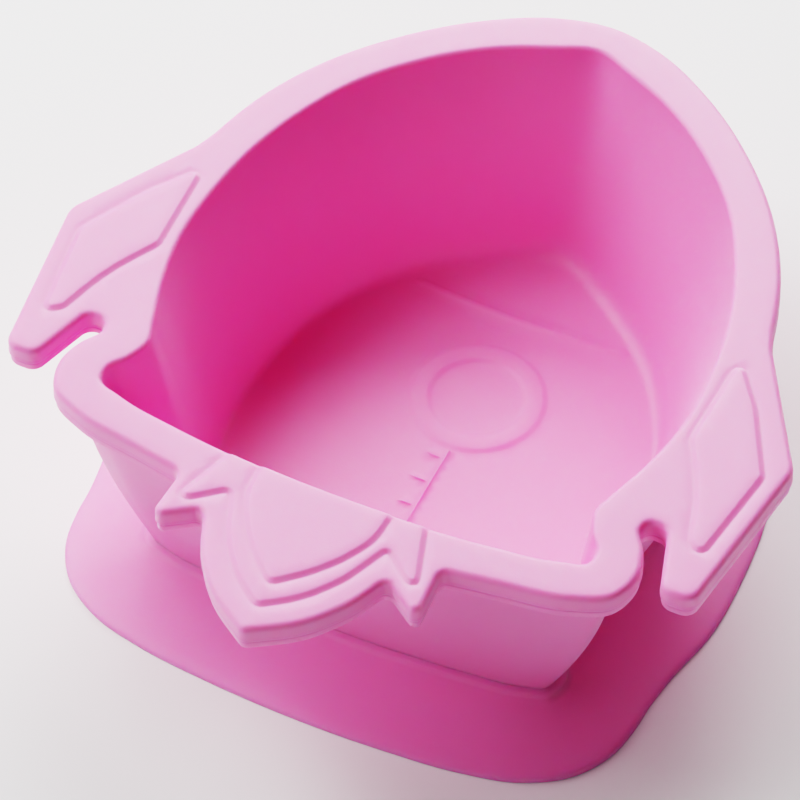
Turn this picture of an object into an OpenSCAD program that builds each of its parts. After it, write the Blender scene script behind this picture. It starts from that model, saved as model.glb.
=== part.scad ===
// Rocket-shaped silicone suction bowl for a highchair tray.
// Two silicone mouldings: the bowl, and the flexible suction base bonded
// under it. The rocket's nose points along +Y and the table is at z = 0.

/* [Bowl] */
// Height of the rim's top face above the table
rim_top_z = 51; // [44:1:60]
// Thickness of the rim's edge
rim_t = 6; // [4:0.5:8]
// Height of the bowl's underside above the table
foot_z = 3.8; // [3.4:0.1:4.4]
// Thickness of the bowl's floor
floor_t = 2.2; // [1.6:0.1:3]
// Inset of the outer wall under the rim's edge
rim_lip = 5; // [3:0.2:5.4]
// Rise of the fillet between the inner wall and the floor
fillet_h = 3.6; // [2.4:0.2:6]

/* [Raised patterns] */
// Height of each raised step on the rim
relief_h = 0.5; // [0.3:0.1:1]
// Outer radius of the ring on the floor
ring_r = 13.5; // [12:0.5:15]
// Width of the ring on the floor
ring_w = 3.8; // [3:0.2:6]
// Distance from the ring's centre to the middle of the object
ring_y = 17.5; // [17:0.5:20]

/* [Suction base] */
// Thickness of the pad that is bonded under the bowl
pad_t = 1.6; // [1.2:0.1:2]
// Height of the bonded joint's edge around the foot of the bowl
bond_h = 1; // [0.6:0.1:1.4]
// Thickness of the sealing lip at its outer edge
lip_t = 1.1; // [0.8:0.1:1.4]
// Width of the flat sealing face under the lip
seal_w = 5; // [3:0.5:7]

/* [Smoothness] */
// Points in each stretch between two knots of an outline
steps = 4; // [2:1:6]

/* [Hidden] */
$fn = 64;

rim_z = rim_top_z - rim_t;
floor_z = foot_z + floor_t;
chamber_z = foot_z - pad_t;
wall_h = rim_z + 1 - foot_z;
wall_bulge = 1.6;
notch_r = 2.2;
eps = 0.01;
fit_gap = 0.3;
// How far a cut reaches past the surface it opens
cut = 1;

// Mean width of the skirt around the foot of the bowl
skirt_w = 20;
// Top of the skirt and the chamber under it, as [share, z]: the share goes
// from the lip (0) to the foot of the bowl (1)
SKIRT_TOP = [[0, 0], [0, lip_t], [0.25, lip_t + 0.5], [0.6, lip_t + 1.7],
    [0.93, foot_z + bond_h]];
CHAMBER = [[seal_w / skirt_w, -cut], [seal_w / skirt_w, 0],
    [0.62, chamber_z - 0.8], [1.1, chamber_z]];

// Right-hand knots [x, y], from the nose to the middle of the front edge.
// All four lists have the same number of knots, so that any two of them
// can be joined ring by ring.
RIM_OUT = [[0, 82.7], [11.5, 80.4], [24.5, 73.4], [38.6, 61.4], [48.7, 48.9],
    [55.1, 36.8], [59.3, 23.1], [61.3, 10.5], [61.4, -2], [59, -14],
    [55.7, -25], [55.5, -31.2], [57.8, -35], [59.3, -40.5], [57.2, -47.2],
    [50.2, -51], [37, -53.5], [19, -56.1], [0, -57]];
RIM_IN = [[0, 74.9], [8.2, 71.9], [19, 66.6], [31, 57], [39.8, 46.6],
    [45.7, 35.2], [50.1, 22], [52.1, 9.5], [52.4, -4.2], [50.3, -15.7],
    [47.3, -25.2], [45.9, -30.2], [47.6, -35.3], [49.9, -38.8], [49.7, -41.7],
    [45, -43.6], [31.5, -46], [17, -47.4], [0, -47.9]];
WALL_FOOT = [[0, 61.5], [7.6, 58.8], [16.4, 53.9], [25.6, 46.8], [33.2, 38.2],
    [39.4, 28], [43.4, 17], [45, 6], [44.8, -5], [43, -15],
    [41, -23.6], [40.4, -28.7], [41.2, -33], [42.3, -36.6], [41.4, -40.1],
    [37.2, -41.8], [26.9, -43.3], [13.9, -44.4], [0, -44.9]];
FLOOR = [[0, 56.6], [6, 54.8], [12.5, 50.4], [20.8, 44.3], [27.8, 37.7],
    [33.5, 29.7], [37.8, 20.7], [40.2, 10.6], [41.3, 0], [40.9, -10],
    [39.5, -18], [38.3, -24.8], [38.1, -29.3], [39, -33.3], [39.4, -35.6],
    [37.2, -37.5], [27.6, -38.6], [14.4, -39.3], [0, -39.6]];
LIP = [[0, 81], [10, 79.2], [21.5, 74.6], [33, 67], [43.6, 57.6],
    [52.6, 46], [59.4, 33], [63, 18.8], [64.6, 2], [64.3, -12],
    [61.4, -25.3], [60.3, -32.5], [59.9, -38.5], [58.4, -45.9], [53.6, -53.6],
    [45, -59.2], [34, -62], [19, -63.6], [0, -64.3]];

// Right-hand fin outside the rim: corners as [x, y, radius]
FIN = [[58, 26, 4], [60.9, 18.6, 8], [75.6, -6.4, 5], [70.5, -42.2, 3.2],
    [63.8, -42.2, 3.2], [59.6, -28.7, notch_r], [52, -28.7, 1], [52, -20, 1]];
// Raised panel on the fin
FIN_PANEL = [[56.6, 12.8, 0.8], [63.2, 3.7, 9], [70.6, -10.6, 1.6],
    [67.4, -31.6, 1.2], [64.6, -29.4, 1.2], [61.4, -18, 60], [55.6, -7.7, 2]];
// Flame at the front, right-hand half, from the rim to the tip
FLAME = [[26.6, -40, 0.5], [26.6, -55.2, 1.6], [27.3, -67.1, 1.7],
    [18.7, -61.1, 1.4], [15.5, -68.8, 20], [9.8, -76.7, 30], [0, -82.9, 2]];
// Raised flame, first step and second step
FLAME_1 = [[18.6, -46, 1], [23.7, -59.8, 1.2], [22.2, -59.7, 1.2],
    [15.8, -54.4, 1.4], [11.6, -64.5, 20], [6.6, -71.4, 30], [0, -76.2, 1.2]];
FLAME_2 = [[13.2, -46, 1], [12.8, -54.7, 12], [9.3, -61.2, 20],
    [5.2, -66.4, 30], [0, -71, 1.2]];

// ---- Outline functions -------------------------------------------------

// Slope of a smooth curve at knot b, between knots a and c
function slope(a, b, c) =
    let (u = norm(b - a), v = norm(c - b))
    ((b - a) * v / u + (c - b) * u / v) / (u + v);

// Point at fraction t between knots b and c, with a and d on either side
function between(a, b, c, d, t) =
    let (len_bc = norm(c - b), tb = slope(a, b, c), tc = slope(b, c, d))
    (2 * t ^ 3 - 3 * t ^ 2 + 1) * b + (t ^ 3 - 2 * t ^ 2 + t) * len_bc * tb
    + (3 * t ^ 2 - 2 * t ^ 3) * c + (t ^ 3 - t ^ 2) * len_bc * tc;

// Right-hand knots and their mirror images, as one closed list
function mirrored(half) =
    let (last = len(half) - 1)
    concat(half, [for (i = [last - 1:-1:1]) [-half[i][0], half[i][1]]]);

// Smooth closed outline through the right-hand knots and their mirror images
function outline(half) =
    let (knots = mirrored(half), n = len(knots))
    [for (i = [0:n - 1], j = [0:steps - 1])
        between(knots[(i + n - 1) % n], knots[i], knots[(i + 1) % n],
            knots[(i + 2) % n], j / steps)];

// Points of the arc that rounds corner b, between corners a and c
function corner(a, b, c) =
    let (pa = [a[0], a[1]], pb = [b[0], b[1]], pc = [c[0], c[1]],
        u = (pa - pb) / norm(pa - pb), v = (pc - pb) / norm(pc - pb),
        half_angle = acos(u * v) / 2,
        reach = min(b[2] / tan(half_angle),
            0.49 * min(norm(pa - pb), norm(pc - pb))),
        radius = reach * tan(half_angle),
        centre = pb + (u + v) / norm(u + v) * radius / sin(half_angle),
        from = pb + u * reach - centre,
        to = pb + v * reach - centre,
        sweep = sign(from[0] * to[1] - from[1] * to[0])
            * acos(from * to / (norm(from) * norm(to))),
        start = atan2(from[1], from[0]), n = ceil(abs(sweep) / 15))
    [for (i = [0:n])
        centre + radius * [cos(start + sweep * i / n), sin(start + sweep * i / n)]];

// Closed polygon with rounded corners
function rounded(corners) =
    let (n = len(corners))
    [for (i = [0:n - 1], p = corner(corners[(i + n - 1) % n], corners[i],
        corners[(i + 1) % n])) p];

function mirrored_corners(half) =
    let (last = len(half) - 1)
    concat(half, [for (i = [last - 1:-1:0]) [-half[i][0], half[i][1], half[i][2]]]);

// Ring part-way from outline a to outline b, at height z
function ring(a, b, share, z) =
    [for (i = [0:len(a) - 1])
        let (p = a[i] + (b[i] - a[i]) * share) [p[0], p[1], z]];

// Outline drawn in towards the inside by d, or outwards if d is negative
function inset(points, d) =
    let (n = len(points))
    [for (i = [0:n - 1])
        let (t = points[(i + 1) % n] - points[(i + n - 1) % n])
        points[i] + [t[1], -t[0]] / norm(t) * -d * turn(points)];

// +1 for an outline that runs anticlockwise, -1 for a clockwise one
function turn(points) =
    let (n = len(points))
    sign([for (i = [0:n - 1])
        let (a = points[i], b = points[(i + 1) % n]) a[0] * b[1] - a[1] * b[0]]
        * [for (i = [0:n - 1]) 1]);

// ---- Solids ------------------------------------------------------------

// Closed skin over a stack of rings, from the lowest to the highest
module skin(rings) {
    n = len(rings[0]);
    last = len(rings) - 1;
    points = [for (r = rings, p = r) p];
    sides = [for (k = [0:last - 1], i = [0:n - 1], half = [0, 1])
        let (a = k * n + i, b = k * n + (i + 1) % n)
        half == 0 ? [a, b, a + n] : [b, b + n, a + n]];
    bottom = [for (i = [0:n - 1]) n - 1 - i];
    top = [for (i = [0:n - 1]) last * n + i];
    flipped = turn([for (p = rings[0]) [p[0], p[1]]]) > 0;
    faces = concat(sides, [bottom], [top]);
    polyhedron(points, [for (f = faces) flipped
        ? [for (i = [len(f) - 1:-1:0]) f[i]] : f], convexity = 8);
}

module slab(points, z, h) {
    translate([0, 0, z]) linear_extrude(h) polygon(points);
}

module both_sides() {
    children();
    mirror([1, 0, 0]) children();
}

// Outer wall's outline at fraction h of the way from its foot to the rim
function wall_ring(h) =
    ring(inset(outline(RIM_OUT), rim_lip), outline(WALL_FOOT),
        (1 - h) ^ wall_bulge, foot_z + h * wall_h);

// Outer wall of the bowl, from its foot up into the rim
module outer_wall() {
    levels = 8;
    skin([for (k = [0:levels]) wall_ring(k / levels)]);
}

// Space inside the bowl: floor, fillet, and wall up to the rim
module cavity() {
    top = outline(RIM_IN);
    bottom = outline(FLOOR);
    wall_share = 0.8;
    fillet_steps = 4;
    wall_steps = 3;
    skin(concat(
        [for (k = [0:fillet_steps])
            let (a = 90 * k / fillet_steps)
            ring(bottom, top, (1 - wall_share) * sin(a),
                floor_z + fillet_h * (1 - cos(a)))],
        [for (k = [1:wall_steps])
            let (h = k / wall_steps)
            ring(bottom, top, 1 - wall_share * (1 - h),
                floor_z + fillet_h + h * (rim_top_z - floor_z - fillet_h))],
        [ring(bottom, top, 1, rim_top_z + relief_h + cut)]));
}

module rim() {
    slab(outline(RIM_OUT), rim_z, rim_t);
    both_sides() slab(rounded(FIN), rim_z, rim_t);
    slab(rounded(mirrored_corners(FLAME)), rim_z, rim_t);
}

module rim_pattern() {
    both_sides() slab(rounded(FIN_PANEL), rim_top_z - eps, relief_h + eps);
    slab(rounded(mirrored_corners(FLAME_1)), rim_top_z - eps, relief_h + eps);
    slab(rounded(mirrored_corners(FLAME_2)), rim_top_z - eps, 2 * relief_h + eps);
}

module floor_ring() {
    translate([0, ring_y, floor_z - eps]) difference() {
        cylinder(r = ring_r, h = relief_h + eps);
        translate([0, 0, -cut]) cylinder(r = ring_r - ring_w, h = relief_h + 2 * cut);
    }
}

module bowl() {
    color("hotpink") {
        difference() {
            union() {
                rim();
                rim_pattern();
                outer_wall();
            }
            cavity();
        }
        floor_ring();
    }
}

// Thin flexible skirt: bonded pad in the middle, sealing lip at the edge,
// and a shallow suction chamber underneath
module suction_base() {
    foot = outline(WALL_FOOT);
    lip = outline(LIP);
    socket = inset([for (p = wall_ring(bond_h / wall_h)) [p[0], p[1]]], -fit_gap);
    color("pink") difference() {
        skin([for (p = SKIRT_TOP) ring(lip, foot, p[0], p[1])]);
        slab(socket, foot_z, bond_h + cut);
        skin([for (p = CHAMBER) ring(lip, foot, p[0], p[1])]);
    }
}

bowl();
suction_base();
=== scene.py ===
"""Looks of a rocket-shaped silicone suction bowl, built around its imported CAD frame.

Shapes are worked out in millimetres in the CAD frame: +Y towards the rocket's
nose, +X to the right fin, z = 0 on the table. Each of the two mouldings is one
closed mesh, made of rings (walls, rounded edges) and of filled regions (the
flat faces with their raised patterns).
"""
import math

import bpy
import numpy as np
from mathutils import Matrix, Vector
from mathutils.geometry import delaunay_2d_cdt
from mathutils.kdtree import KDTree


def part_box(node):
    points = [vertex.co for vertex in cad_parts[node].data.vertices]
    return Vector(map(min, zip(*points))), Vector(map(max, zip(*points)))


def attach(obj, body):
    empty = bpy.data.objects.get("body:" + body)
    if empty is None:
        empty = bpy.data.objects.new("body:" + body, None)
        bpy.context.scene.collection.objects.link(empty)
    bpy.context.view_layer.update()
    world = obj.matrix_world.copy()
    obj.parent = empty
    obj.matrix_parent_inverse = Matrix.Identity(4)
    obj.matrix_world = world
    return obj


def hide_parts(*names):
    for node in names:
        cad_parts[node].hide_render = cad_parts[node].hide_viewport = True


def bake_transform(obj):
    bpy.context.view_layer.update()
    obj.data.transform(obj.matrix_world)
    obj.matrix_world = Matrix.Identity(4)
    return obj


MM = 0.001
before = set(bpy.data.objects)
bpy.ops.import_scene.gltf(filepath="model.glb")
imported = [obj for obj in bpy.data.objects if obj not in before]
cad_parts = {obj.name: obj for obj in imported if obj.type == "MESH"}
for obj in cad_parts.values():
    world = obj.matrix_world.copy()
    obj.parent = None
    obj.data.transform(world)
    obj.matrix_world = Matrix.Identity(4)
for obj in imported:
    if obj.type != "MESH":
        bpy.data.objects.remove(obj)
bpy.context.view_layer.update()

# ---- Driving sizes, in mm ----------------------------------------------------

RELIEF = 0.5  # height of each raised step on the rim
BOWL_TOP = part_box("bowl")[1][2] / MM
FOOT_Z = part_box("bowl")[0][2] / MM
RIM_TOP = BOWL_TOP - 2 * RELIEF
RIM_BOTTOM = RIM_TOP - 6.0
FLOOR_Z = FOOT_Z + 2.2

SKIN_GAP = 0.12  # the rim's outline stays this far inside the CAD outline
TOP_ROUND = 1.3  # rounding of the rim's top outer edge
LOW_ROUND = 0.5  # rounding of its lower outer edge
INNER_ROUND = 1.1  # rounding from the rim into the bowl
PARTING_DROP = 3.9  # from the rim's top down to the mould's parting line
FLASH = 0.08  # how far the parting line's flash stands out
SEAM_IN = 0.65  # depth of the fine seam under the flash
LOWER_BAND_IN = 0.22  # mismatch of the lower mould half
WALL_INSET = 5.0  # inset of the outer wall under the rim
WALL_BULGE = 1.6  # how full the outer wall is above its foot

WALL_SHARE = 0.225  # where the inner wall meets the fillet, from floor (0) to rim (1)
FILLET_TOP = 4.4  # height of that place above the floor
FILLET_FOOT = 0.13  # share at which the wall's line would meet the floor
FILLET_START = -0.07  # share at which the fillet leaves the floor

EDGE_W = 1.15  # width of the sloping edge of a raised panel
GROOVE_H, GROOVE_W = 0.14, 0.7  # faint groove round the foot of that slope
GROOVE_OUT = EDGE_W / 2 + GROOVE_W / 3  # from the panel's outline to the groove's middle
EDGE_LINES = (-0.5, -0.25, 0, 0.25, 0.5)  # mesh lines along such an edge

RING_X, RING_Y, RING_R, RING_W, RING_H, RING_EDGE = 0.7, 17.5, 13.6, 4.0, 0.36, 1.6
NOSE_LINE_X, NOSE_LINE_Y, NOSE_LINE_BOW = 22.5, 39.3, 1.0
NOSE_LINE_H, NOSE_LINE_W = 0.36, 2.8
SCALE_X, SCALE_TOP, SCALE_BOTTOM = 1.4, 2.6, -31
SCALE_H, SCALE_W = 0.28, 0.5
MARK_GAP, MARK_L, MARK_TOP, MARK_STEP = 1.3, 1.8, 0.6, 6.5

LIP_T = 1.1  # thickness of the sealing lip near its edge
BOND_TOP = FOOT_Z + 1.0  # top of the bond between the two mouldings
PAD_TOP = FOOT_Z - 0.02  # top of the pad under the bowl's foot
CHAMBER_Z = FOOT_Z - 1.6  # ceiling of the suction chamber

OUTLINE_STEP = 0.55  # spacing of the points round the rim's outer edge
PANEL_STEP = 0.6  # spacing of the points round a raised panel
RIDGE_STEP = 0.5  # spacing of the points along a line of the scale
PER_KNOT = 24  # points in each stretch between two knots of a ring
FINE, MIDDLE, COARSE = 1.6, 2.0, 4.0  # mesh sizes of the flat faces

# Right-hand knots from the nose to the middle of the front edge. All lists
# have the same number of knots, so any two can be joined ring by ring.
RIM_OUT = [
    (0, 82.7), (11.5, 80.4), (24.5, 73.4), (38.6, 61.4), (48.7, 48.9), (55.1, 36.8),
    (59.3, 23.1), (61.3, 10.5), (61.4, -2), (59, -14), (55.7, -25), (55.5, -31.2),
    (57.8, -35), (59.3, -40.5), (57.2, -47.2), (50.2, -51), (37, -53.5), (19, -56.1),
    (0, -57),
]
RIM_IN = [
    (0, 74.9), (8.2, 71.9), (19, 66.6), (31, 57), (39.8, 46.6), (45.7, 35.2), (50.1, 22),
    (52.1, 9.5), (52.4, -4.2), (50.3, -15.7), (47.3, -25.2), (45.9, -30.2), (47.6, -35.3),
    (49.9, -38.8), (49.7, -41.7), (45, -43.6), (31.5, -46), (17, -47.4), (0, -47.9),
]
WALL_FOOT = [
    (0, 61.5), (7.6, 58.8), (16.4, 53.9), (25.6, 46.8), (33.2, 38.2), (39.4, 28),
    (43.4, 17), (45, 6), (44.8, -5), (43, -15), (41, -23.6), (40.4, -28.7), (41.2, -33),
    (42.3, -36.6), (41.4, -40.1), (37.2, -41.8), (26.9, -43.3), (13.9, -44.4), (0, -44.9),
]
FLOOR = [
    (0, 56.6), (6, 54.8), (12.5, 50.4), (20.8, 44.3), (27.8, 37.7), (33.5, 29.7),
    (37.8, 20.7), (40.2, 10.6), (41.3, 0), (40.9, -10), (39.5, -18), (38.3, -24.8),
    (38.1, -29.3), (39, -33.3), (39.4, -35.6), (37.2, -37.5), (27.6, -38.6),
    (14.4, -39.3), (0, -39.6),
]
LIP = [
    (0, 81), (10, 79.2), (21.5, 74.6), (33, 67), (43.6, 57.6), (52.6, 46), (59.4, 33),
    (63, 18.8), (64.6, 2), (64.3, -12), (61.4, -25.3), (60.3, -32.5), (59.9, -38.5),
    (58.4, -45.9), (53.6, -53.6), (45, -59.2), (34, -62), (19, -63.6), (0, -64.3),
]

# Corners as (x, y, radius), on the right-hand side
FIN = [
    (60.9, 18.6, 8), (75.6, -6.4, 5), (70.5, -42.2, 3.2), (63.8, -42.2, 3.2),
    (59.6, -28.7, 2.2), (55.9, -28.7, 2.2),
]
FLAME = [
    (26.6, -55.2, 1.6), (27.3, -67.1, 1.7), (18.7, -61.1, 1.4), (15.5, -68.8, 20),
    (9.8, -76.7, 30), (0, -82.9, 2),
]
FIN_PANEL = [
    (56.6, 12.8, 0.8), (63.2, 3.7, 9), (70.6, -10.6, 1.6), (67.4, -31.6, 1.2),
    (64.6, -29.4, 1.2), (61.4, -18, 60), (55.6, -7.7, 2),
]
FLAME_1 = [
    (18.6, -44, 1), (23.7, -59.8, 1.2), (22.2, -59.7, 1.2), (15.8, -54.4, 1.4),
    (11.6, -64.5, 20), (6.6, -71.4, 30), (0, -76.2, 1.2),
]
FLAME_2 = [
    (13.2, -44, 1), (12.8, -54.7, 12), (9.3, -61.2, 20), (5.2, -66.4, 30), (0, -71, 1.2),
]

# Rim's edge at the parting line, as (inset, height above that line)
PARTING = [
    (0, 1.2), (0, 0.6), (-FLASH, 0.45), (-FLASH, 0.25), (SEAM_IN, 0.12), (SEAM_IN, -0.28),
    (LOWER_BAND_IN, -0.4), (LOWER_BAND_IN, -0.7),
]
# Collar of the base round the bowl's wall, as (distance out, height above the bond)
COLLAR = [
    (-0.4, -0.5), (-0.3, 0.38), (0.02, 0.36), (0.1, 0.2), (0.3, 0.07), (0.6, 0),
    (1.0, -0.06), (1.4, -0.26), (1.7, -0.58),
]
# Skirt, as (share of the way from the lip's outline to the foot's, height)
SKIRT_TOP = [
    (0.87, 4.02), (0.78, 3.65), (0.68, 3.2), (0.56, 2.75), (0.42, 2.28), (0.28, 1.85),
    (0.14, 1.5), (0.06, LIP_T + 0.12), (0.03, LIP_T - 0.05),
]
LIP_EDGE = [
    (0.014, LIP_T - 0.2), (0.005, LIP_T - 0.45), (0, LIP_T - 0.8), (0.001, 0.06), (0.005, 0),
]
SKIRT_UNDER = [
    (0.24, 0), (0.27, 0.08), (0.32, 0.35), (0.45, 0.9), (0.62, 1.4), (0.85, 1.9),
    (1.1, CHAMBER_Z),
]


# ---- Outlines ------------------------------------------------------------------

def mirrored(half):
    """Right-hand points and their mirror images, as one closed list."""
    half = np.asarray(half, float)
    return np.vstack([half, (half * [-1, 1])[-2:0:-1]])


def mirrored_corners(half):
    """Right-hand corners, the last one on the axis, and their mirror images."""
    half = np.asarray(half, float)
    return np.vstack([half, (half * [-1, 1, 1])[-2::-1]])


def slopes(knots):
    """Slope of a smooth closed curve at each knot."""
    before, after = np.roll(knots, 1, 0), np.roll(knots, -1, 0)
    u = np.linalg.norm(knots - before, axis=1, keepdims=True)
    v = np.linalg.norm(after - knots, axis=1, keepdims=True)
    return ((knots - before) * v / u + (after - knots) * u / v) / (u + v)


def smooth(half):
    """Smooth closed outline through right-hand knots and their mirror images."""
    start = mirrored(half)
    start_slope = slopes(start)
    end, end_slope = np.roll(start, -1, 0), np.roll(start_slope, -1, 0)
    length = np.linalg.norm(end - start, axis=1, keepdims=True)
    rows = [
        (2 * t**3 - 3 * t**2 + 1) * start + (t**3 - 2 * t**2 + t) * length * start_slope
        + (3 * t**2 - 2 * t**3) * end + (t**3 - t**2) * length * end_slope
        for t in np.arange(PER_KNOT) / PER_KNOT
    ]
    return np.stack(rows, 1).reshape(-1, 2)


def corner_arc(before, corner, after, step_deg=6):
    """Points of the arc that rounds a corner given as (x, y, radius)."""
    here = corner[:2]
    u, v = before[:2] - here, after[:2] - here
    u_length, v_length = np.linalg.norm(u), np.linalg.norm(v)
    u, v = u / u_length, v / v_length
    half_angle = math.acos(np.clip(u @ v, -1, 1)) / 2
    reach = min(corner[2] / math.tan(half_angle), 0.49 * min(u_length, v_length))
    radius = reach * math.tan(half_angle)
    centre = here + (u + v) / np.linalg.norm(u + v) * radius / math.sin(half_angle)
    start, stop = here + u * reach - centre, here + v * reach - centre
    turn = math.atan2(start[0] * stop[1] - start[1] * stop[0], start @ stop)
    count = max(2, math.ceil(abs(math.degrees(turn)) / step_deg))
    angles = math.atan2(start[1], start[0]) + turn * np.arange(count + 1) / count
    return centre + radius * np.stack([np.cos(angles), np.sin(angles)], 1)


def chain(before, corners, after):
    """Arcs that round each of a row of corners between two plain points."""
    row = np.array([(*before, 0), *corners, (*after, 0)], float)
    return np.vstack([corner_arc(*row[i:i + 3]) for i in range(len(corners))])


def rounded(corners):
    """Closed polygon with rounded corners."""
    return chain(corners[-1][:2], corners, corners[0][:2])


def spaced(points, step):
    """The same closed line with points at equal distances."""
    line = np.vstack([points, points[:1]])
    gaps = np.linalg.norm(np.diff(line, axis=0), axis=1)
    line = line[np.concatenate([[True], gaps > 1e-9])]
    along = np.concatenate([[0], np.cumsum(np.linalg.norm(np.diff(line, axis=0), axis=1))])
    at = np.linspace(0, along[-1], round(along[-1] / step), endpoint=False)
    return np.stack([np.interp(at, along, line[:, k]) for k in (0, 1)], 1)


def inward(points):
    """Unit vectors that point into a closed outline."""
    tangent = np.roll(points, -1, 0) - np.roll(points, 1, 0)
    tangent /= np.linalg.norm(tangent, axis=1, keepdims=True)
    x, y = points.T
    area = np.sum(x * np.roll(y, -1) - y * np.roll(x, -1))
    return np.stack([-tangent[:, 1], tangent[:, 0]], 1) * np.sign(area)


def body_stretch(first, last):
    """Part of the rim's smooth outline between two of its right-hand knots."""
    return smooth(RIM_OUT)[first * PER_KNOT:last * PER_KNOT + 1]


def rim_outline():
    """Whole outer edge of the rim, with its fins, notches and flame."""
    nose_side = body_stretch(0, 6)
    tail_side = body_stretch(11, 17)
    tail_side = tail_side[tail_side[:, 0] > FLAME[0][0] + 4]
    fin = chain(nose_side[-1], FIN, tail_side[0])
    flame = chain(tail_side[-1], FLAME, (-FLAME[-2][0], FLAME[-2][1]))
    flame = flame[flame[:, 0] > 0]
    half = np.vstack([nose_side, fin, tail_side, flame])
    left = (half * [-1, 1])[:0:-1]
    return spaced(np.vstack([half, left]), OUTLINE_STEP)


# ---- Raised patterns -------------------------------------------------------------

def nearest(points, line, closed=True):
    """Distance from each point to a line of points."""
    starts = line if closed else line[:-1]
    ends = np.roll(line, -1, 0) if closed else line[1:]
    best = np.full(len(points), np.inf)
    for a, b in zip(starts, ends):
        ab = b - a
        t = np.clip((points - a) @ ab / max(ab @ ab, 1e-12), 0, 1)
        best = np.minimum(best, np.sum((points - a - t[:, None] * ab) ** 2, axis=1))
    return np.sqrt(best)


def inside(points, outline):
    """True for each point that lies inside a closed outline."""
    x, y = points.T
    result = np.zeros(len(points), bool)
    for (ax, ay), (bx, by) in zip(outline, np.roll(outline, -1, 0)):
        if ay != by:
            crosses = (ay > y) != (by > y)
            result ^= crosses & (x < ax + (y - ay) * (bx - ax) / (by - ay))
    return result


def rise(depth, width):
    """Smooth step from 0 to 1, centred on an edge, for a signed depth inside it."""
    t = np.clip(depth / width + 0.5, 0, 1)
    return t * t * (3 - 2 * t)


class Panel:
    """A raised panel with a soft sloping edge."""

    def __init__(self, outline):
        self.outline = spaced(outline, PANEL_STEP)

    def at(self, points):
        depth = nearest(points, self.outline)
        depth[~inside(points, self.outline)] *= -1
        from_groove = np.abs(depth + GROOVE_OUT)
        groove = GROOVE_H * rise(GROOVE_W / 4 - from_groove, GROOVE_W / 2)
        return RELIEF * rise(depth, EDGE_W) - groove

    def lines(self):
        normal = inward(self.outline)
        insets = [EDGE_W * k for k in EDGE_LINES] + [-GROOVE_OUT, -GROOVE_OUT - GROOVE_W / 2]
        return [closed_line(self.outline + normal * inset) for inset in insets]


class Ridge:
    """A narrow raised line with a round top."""

    def __init__(self, path, height, width):
        self.path, self.height, self.width = path, height, width

    def at(self, points):
        return self.height * rise(0.5 - 2 * nearest(points, self.path, False) / self.width, 1)

    def lines(self):
        along = np.gradient(self.path, axis=0)
        side = np.stack([-along[:, 1], along[:, 0]], 1)
        side *= self.width / np.linalg.norm(side, axis=1, keepdims=True)
        return [self.path + side * k for k in EDGE_LINES]


class Hoop:
    """A raised ring with soft edges inside and out."""

    def __init__(self, centre, outer, width, height, edge):
        self.centre = np.array(centre, float)
        self.outer, self.inner, self.height, self.edge = outer, outer - width, height, edge

    def at(self, points):
        r = np.linalg.norm(points - self.centre, axis=1)
        return self.height * rise(self.outer - r, self.edge) * rise(r - self.inner, self.edge)

    def lines(self):
        angle = np.linspace(0, 2 * np.pi, 120, endpoint=False)
        circle = np.stack([np.cos(angle), np.sin(angle)], 1)
        radii = [r + self.edge * k for r in (self.outer, self.inner) for k in EDGE_LINES]
        return [closed_line(self.centre + r * circle) for r in radii]


def closed_line(points):
    """The same points with the first one added at the end."""
    return np.vstack([points, points[:1]])


def bar(x0, y0, x1, y1):
    """Straight line with evenly spaced points."""
    count = max(2, round(math.hypot(x1 - x0, y1 - y0) / RIDGE_STEP))
    t = np.linspace(0, 1, count + 1)[:, None]
    return np.array([x0, y0]) * (1 - t) + np.array([x1, y1]) * t


def rim_patterns():
    """Panels on both fins, and the two steps of the flame."""
    panel = rounded(FIN_PANEL)
    flames = [rounded(mirrored_corners(corners)) for corners in (FLAME_1, FLAME_2)]
    return [Panel(outline) for outline in (panel, panel * [-1, 1], *flames)]


def floor_patterns():
    """Porthole ring, nose-cone line, and the scale in front of the ring."""
    bend = np.linspace(-1, 1, 60)[:, None]
    nose_line = np.hstack([NOSE_LINE_X * bend, NOSE_LINE_Y + NOSE_LINE_BOW * bend**2])
    end = SCALE_X - MARK_GAP
    marks = [bar(end - MARK_L, y, end, y) for y in np.arange(MARK_TOP, SCALE_BOTTOM, -MARK_STEP)]
    scale = [bar(SCALE_X, SCALE_TOP, SCALE_X, SCALE_BOTTOM), *marks]
    return [
        Hoop((RING_X, RING_Y), RING_R, RING_W, RING_H, RING_EDGE),
        Ridge(nose_line, NOSE_LINE_H, NOSE_LINE_W),
        *[Ridge(line, SCALE_H, SCALE_W) for line in scale],
    ]


def height_of(patterns, points):
    """Total height of overlapping patterns."""
    return sum((p.at(points) for p in patterns), np.zeros(len(points)))


# ---- Meshes ------------------------------------------------------------------------

def point_tree(points):
    """Search tree over flat points."""
    tree = KDTree(len(points))
    for i, (x, y) in enumerate(points):
        tree.insert((x, y, 0), i)
    tree.balance()
    return tree


def far_from(points, tree, distance):
    """True for each point that has nothing of the tree within the distance."""
    return np.array([tree.find((x, y, 0))[2] > distance for x, y in points], bool)


def within(points, loops):
    """True for each point inside the first loop and outside the others."""
    result = inside(points, loops[0])
    for hole in loops[1:]:
        result &= ~inside(points, hole)
    return result


def clear_pieces(line, loops, border, margin=0.4):
    """The stretches of a line that stay inside the loops, clear of their edges."""
    good = within(line, loops) & far_from(line, border, margin)
    pieces, piece = [], []
    for point, ok in zip(line, good):
        if ok:
            piece.append(point)
        elif piece:
            pieces.append(piece)
            piece = []
    pieces.append(piece)
    return [np.array(p) for p in pieces if len(p) > 1]


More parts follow.
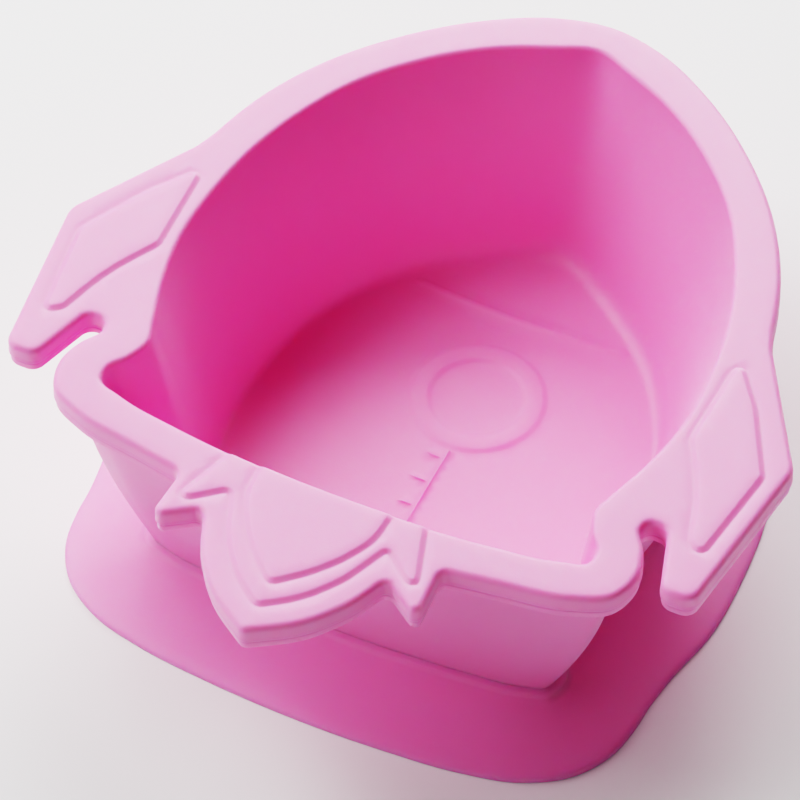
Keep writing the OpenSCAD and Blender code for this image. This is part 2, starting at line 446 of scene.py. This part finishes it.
def hex_grid(loops, fixed, step):
    """Evenly spaced points inside the loops, clear of the fixed points."""
    low, high = loops[0].min(axis=0), loops[0].max(axis=0)
    rows = np.arange(low[1], high[1], step * math.sqrt(0.75))
    points = np.vstack([
        np.stack([x, np.full(len(x), y)], 1)
        for k, y in enumerate(rows)
        for x in [np.arange(low[0] + step / 2 * (k % 2), high[0], step)]
    ])
    points = points[within(points, loops)]
    return points[far_from(points, point_tree(fixed), 0.6 * step)]


def row_edges(first, count, closed):
    """Index pairs along a row of points."""
    pairs = [(first + i, first + i + 1) for i in range(count - 1)]
    return pairs + [(first + count - 1, first)] if closed else pairs


class Skin:
    """One closed mesh, put together from rings and filled regions."""

    def __init__(self):
        self.points, self.faces = [], []

    def add(self, xy, z):
        """Adds points and returns their numbers."""
        first = len(self.points)
        self.points.extend((x, y, h) for (x, y), h in zip(xy, np.broadcast_to(z, len(xy))))
        return np.arange(first, len(self.points))

    def stack(self, rings, start=None):
        """Joins rings given as (xy, z) with quads, and returns the last one's numbers."""
        for xy, z in rings:
            ring = self.add(xy, z)
            if start is not None:
                quads = np.stack([start, np.roll(start, -1), np.roll(ring, -1), ring], 1)
                self.faces.extend(quads.tolist())
            start = ring
        return start

    def fill(self, rings, z, patterns=(), step=MIDDLE):
        """Fills a flat region between rings, with patterns raised on it."""
        numbers = np.concatenate(rings)
        loops = [np.array([self.points[i][:2] for i in ring]) for ring in rings]
        border = np.vstack(loops)
        tree = point_tree(border)
        lines = [
            piece for pattern in patterns for line in pattern.lines()
            for piece in clear_pieces(line, loops, tree)
        ]
        fixed = np.vstack([border, *lines])
        edges, first = [], 0
        for row, closed in [(loop, True) for loop in loops] + [(line, False) for line in lines]:
            edges += row_edges(first, len(row), closed)
            first += len(row)
        xy = np.vstack([fixed, hex_grid(loops, fixed, step)])
        flat, _, faces, origin, _, _ = delaunay_2d_cdt(
            [Vector(p) for p in xy], edges, [], 1, 1e-5
        )
        flat, faces = np.array([tuple(p) for p in flat]), np.array(faces)
        made = self.add(flat, z + height_of(patterns, flat))
        for i, sources in enumerate(origin):
            on_border = [s for s in sources if s < len(border)]
            if on_border:
                made[i] = numbers[on_border[0]]
        middles = flat[faces].mean(axis=1)
        for hole in loops[1:]:
            out = ~inside(middles, hole)
            faces, middles = faces[out], middles[out]
        self.faces.extend(made[faces].tolist())

    def build(self, name):
        """Makes the Blender object, smooth shaded, with its normals outwards."""
        used = np.unique(np.concatenate([np.array(f) for f in self.faces]))
        renumber = {old: new for new, old in enumerate(used)}
        points = (np.array(self.points)[used] * MM).tolist()
        faces = [[renumber[i] for i in face] for face in self.faces]
        mesh = bpy.data.meshes.new(name)
        mesh.from_pydata(points, [], faces)
        mesh.validate()
        obj = bpy.data.objects.new(name, mesh)
        bpy.context.scene.collection.objects.link(obj)
        bpy.context.view_layer.objects.active = obj
        bpy.ops.object.mode_set(mode="EDIT")
        bpy.ops.mesh.select_all(action="SELECT")
        bpy.ops.mesh.normals_make_consistent(inside=False)
        bpy.ops.object.mode_set(mode="OBJECT")
        mesh.shade_smooth()
        return obj


def quarter(count):
    """Sine and cosine at even angles from 0 to 90 degrees."""
    return [(math.sin(a), math.cos(a)) for a in np.linspace(0, math.pi / 2, count)]


def between(a, b, share):
    """Outline part-way from outline a to outline b."""
    return a + (b - a) * share


def outer_wall_outline(z):
    """Outer wall's outline at height z."""
    rim = smooth(RIM_OUT)
    top = rim + inward(rim) * WALL_INSET
    share = max(0, (RIM_BOTTOM - z) / (RIM_BOTTOM - FOOT_Z)) ** WALL_BULGE
    return between(top, smooth(WALL_FOOT), share)


def inner_profile(count=14):
    """Pairs of share and height from the floor, up the fillet and the wall."""
    steps = np.linspace(0, 1, count)
    fillet = [
        (
            (1 - t) ** 2 * FILLET_START + 2 * t * (1 - t) * FILLET_FOOT + t * t * WALL_SHARE,
            FLOOR_Z + t * t * FILLET_TOP,
        )
        for t in steps
    ]
    top = RIM_TOP - INNER_ROUND
    wall = [(between(WALL_SHARE, 1, t), between(FLOOR_Z + FILLET_TOP, top, t)) for t in steps]
    return fillet + wall[1:]


def make_bowl():
    """The bowl: rim, outer wall, foot, inner wall and floor."""
    skin = Skin()
    patterns = rim_patterns()

    edge = rim_outline()
    edge_in = inward(edge)
    top_edge = [
        (TOP_ROUND * (1 - s), RIM_TOP - TOP_ROUND * (1 - c)) for s, c in quarter(6)
    ]
    parting = RIM_TOP - PARTING_DROP
    side = [(inset, parting + up) for inset, up in PARTING]
    low_edge = [
        (LOWER_BAND_IN + LOW_ROUND * (1 - c), RIM_BOTTOM + LOW_ROUND * (1 - s))
        for s, c in quarter(5)
    ]
    profile = [(SKIN_GAP + inset, z) for inset, z in top_edge + side + low_edge]
    rings = [(edge + edge_in * inset, z) for inset, z in profile]
    rim_top_ring = skin.stack(rings[:1])
    rim_low_ring = skin.stack(rings[1:], rim_top_ring)

    wall = [(outer_wall_outline(z), z) for z in np.linspace(RIM_BOTTOM, FOOT_Z, 24)]
    wall_top_ring = skin.stack(wall[:1])
    foot_ring = skin.stack(wall[1:], wall_top_ring)
    skin.fill([rim_low_ring, wall_top_ring], RIM_BOTTOM)
    skin.fill([foot_ring], FOOT_Z, step=COARSE)

    floor, mouth = smooth(FLOOR), smooth(RIM_IN)
    mouth_out = -inward(mouth)
    inner = [(between(floor, mouth, share), z) for share, z in inner_profile()]
    floor_ring = skin.stack(inner[:1])
    wall_ring = skin.stack(inner[1:], floor_ring)
    rounding = []
    for s, c in quarter(7)[1:]:
        xy = mouth + mouth_out * INNER_ROUND * (1 - c)
        fade = rise(s - 0.5, 1)
        rounding.append((xy, RIM_TOP - INNER_ROUND * (1 - s) + fade * height_of(patterns, xy)))
    mouth_ring = skin.stack(rounding, wall_ring)
    skin.fill([rim_top_ring, mouth_ring], RIM_TOP, patterns, step=FINE)
    skin.fill([floor_ring], FLOOR_Z, floor_patterns(), step=FINE)
    return skin.build("bowl_moulding")


def make_base():
    """The suction base: bonded pad, skirt, sealing lip and suction chamber."""
    skin = Skin()
    lip, foot = smooth(LIP), smooth(WALL_FOOT)
    wall = outer_wall_outline(BOND_TOP)
    wall_out = -inward(wall)
    skirt = SKIRT_TOP + LIP_EDGE + SKIRT_UNDER
    rows = [(wall + wall_out * out, BOND_TOP + up) for out, up in COLLAR]
    rows += [(between(lip, foot, share), z) for share, z in skirt]
    pad_ring = skin.stack([(foot, PAD_TOP)])
    ceiling_ring = skin.stack(rows, pad_ring)
    skin.fill([pad_ring], PAD_TOP, step=COARSE)
    skin.fill([ceiling_ring], CHAMBER_Z, step=COARSE)
    return skin.build("base_moulding")


# ---- Materials -----------------------------------------------------------------------

PINK, DEEP_PINK = (0.98, 0.272, 0.575), (0.95, 0.255, 0.55)
SCATTER = 1.5 * MM  # how far light travels inside the silicone
ROUGH_LOW, ROUGH_HIGH = 0.46, 0.58
GRAIN = 0.05 * MM  # height of the fine grain
FLOOR_WHITE = (0.93, 0.93, 0.93)


def silicone(name):
    """Soft matte silicone: light scatters inside it, and its surface is finely grained."""
    mat = bpy.data.materials.new(name)
    mat.use_nodes = True
    nodes, links = mat.node_tree.nodes, mat.node_tree.links
    shader = nodes["Principled BSDF"]
    shader.inputs["IOR"].default_value = 1.41
    shader.inputs["Specular IOR Level"].default_value = 1.0
    shader.inputs["Subsurface Weight"].default_value = 1.0
    shader.inputs["Subsurface Radius"].default_value = (1.0, 0.35, 0.55)
    shader.inputs["Subsurface Scale"].default_value = SCATTER
    shader.inputs["Sheen Weight"].default_value = 0.1
    shader.inputs["Sheen Roughness"].default_value = 0.5

    place = nodes.new("ShaderNodeTexCoord")
    cloud = noise(nodes, links, place, scale=28, detail=3)
    shade = nodes.new("ShaderNodeMix")
    shade.data_type = "RGBA"
    links.new(cloud, shade.inputs["Factor"])
    shade.inputs["A"].default_value = (*PINK, 1)
    shade.inputs["B"].default_value = (*DEEP_PINK, 1)
    links.new(shade.outputs["Result"], shader.inputs["Base Color"])

    rough = nodes.new("ShaderNodeMapRange")
    links.new(noise(nodes, links, place, scale=160, detail=4), rough.inputs["Value"])
    rough.inputs["To Min"].default_value = ROUGH_LOW
    rough.inputs["To Max"].default_value = ROUGH_HIGH
    links.new(rough.outputs["Result"], shader.inputs["Roughness"])

    bump = nodes.new("ShaderNodeBump")
    bump.inputs["Strength"].default_value = 0.35
    bump.inputs["Distance"].default_value = GRAIN
    links.new(noise(nodes, links, place, scale=2600, detail=2), bump.inputs["Height"])
    links.new(bump.outputs["Normal"], shader.inputs["Normal"])
    return mat


def noise(nodes, links, place, scale, detail):
    """Output of a noise texture in the object's own coordinates."""
    texture = nodes.new("ShaderNodeTexNoise")
    texture.inputs["Scale"].default_value = scale
    texture.inputs["Detail"].default_value = detail
    links.new(place.outputs["Object"], texture.inputs["Vector"])
    return texture.outputs["Fac"]


def plain(name, colour, roughness=0.9):
    """Matte material of one colour."""
    mat = bpy.data.materials.new(name)
    mat.use_nodes = True
    shader = mat.node_tree.nodes["Principled BSDF"]
    shader.inputs["Base Color"].default_value = (*colour, 1)
    shader.inputs["Roughness"].default_value = roughness
    return mat


# ---- Stage ---------------------------------------------------------------------------

# Softboxes as (name, azimuth, elevation, energy): behind the rocket's nose, on its
# left, and a weak one in front. Azimuths run anticlockwise from +X, in degrees.
SOFTBOXES = [
    ("key", 110, 33, 13.2),
    ("back", 90, 28, 3.2),
    ("high_key", 155, 48, 5.6),
    ("high_side", 180, 55, 4.6),
    ("side", 195, 28, 5.4),
    ("front_side", 230, 28, 1.4),
    ("front", 310, 25, 1.5),
]
LIGHT_SIZE, LIGHT_DISTANCE = 0.6, 1.2  # m
LIGHT_AIM = Vector((0, 0, 0.02))

CAMERA_AZIMUTH, CAMERA_ELEVATION, CAMERA_DISTANCE = -64.5, 50.9, 0.8369
CAMERA_AIM = Vector((2.84, -22.6, RIM_TOP)) * MM
CAMERA_LENS, SENSOR_WIDTH = 202.5, 36
CLIP_START, CLIP_END = 0.05, 20  # m

FLOOR_SIZE = 1.6  # m
FLOOR_TOP = -0.02 * MM
BACKDROP_WHITE = (1.8, 1.8, 1.8)


def add_floor():
    """Plain white floor under the object."""
    bpy.ops.mesh.primitive_plane_add(size=FLOOR_SIZE, location=(0, 0, FLOOR_TOP))
    floor = bpy.context.object
    floor.name = "studio_floor"
    floor.data.materials.append(plain("floor_white", FLOOR_WHITE))


def add_aimed(name, data, aim, azimuth, elevation, distance):
    """Puts a light or a camera at a distance from its aim, and turns it there."""
    obj = bpy.data.objects.new(name, data)
    bpy.context.scene.collection.objects.link(obj)
    azimuth, elevation = math.radians(azimuth), math.radians(elevation)
    back = Vector((
        math.cos(azimuth) * math.cos(elevation),
        math.sin(azimuth) * math.cos(elevation),
        math.sin(elevation),
    ))
    obj.location = aim + back * distance
    obj.rotation_mode = "QUATERNION"
    obj.rotation_quaternion = back.to_track_quat("Z", "Y")
    return obj


def add_softbox(name, azimuth, elevation, energy):
    """Square light aimed at the object."""
    data = bpy.data.lights.new(name, "AREA")
    data.shape, data.size, data.energy = "SQUARE", LIGHT_SIZE, energy
    add_aimed(name, data, LIGHT_AIM, azimuth, elevation, LIGHT_DISTANCE)


def add_camera():
    """Camera above and to the right of the rocket's tail, with a long lens."""
    data = bpy.data.cameras.new("camera")
    data.lens, data.sensor_width = CAMERA_LENS, SENSOR_WIDTH
    data.clip_start, data.clip_end = CLIP_START, CLIP_END
    bpy.context.scene.camera = add_aimed(
        "camera", data, CAMERA_AIM, CAMERA_AZIMUTH, CAMERA_ELEVATION, CAMERA_DISTANCE
    )


def add_backdrop():
    """A plain white surround that gives no light: all of it comes from the softboxes."""
    world = bpy.data.worlds.new("studio")
    bpy.context.scene.world = world
    world.use_nodes = True
    nodes, links = world.node_tree.nodes, world.node_tree.links
    nodes["Background"].inputs["Color"].default_value = (*BACKDROP_WHITE, 1)
    seen = nodes.new("ShaderNodeLightPath").outputs["Is Camera Ray"]
    links.new(seen, nodes["Background"].inputs["Strength"])


add_camera()
add_floor()
add_backdrop()
for name, azimuth, elevation, energy in SOFTBOXES:
    add_softbox(name, azimuth, elevation, energy)
view = bpy.context.scene.view_settings
view.view_transform = "Filmic"
view.look = "Very High Contrast"

bowl = make_bowl()
bowl.data.materials.append(silicone("bowl_silicone_mat"))
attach(bowl, "bowl")
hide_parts("bowl")

base = make_base()
base.data.materials.append(silicone("base_silicone_mat"))
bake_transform(base)
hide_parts("suction_base")
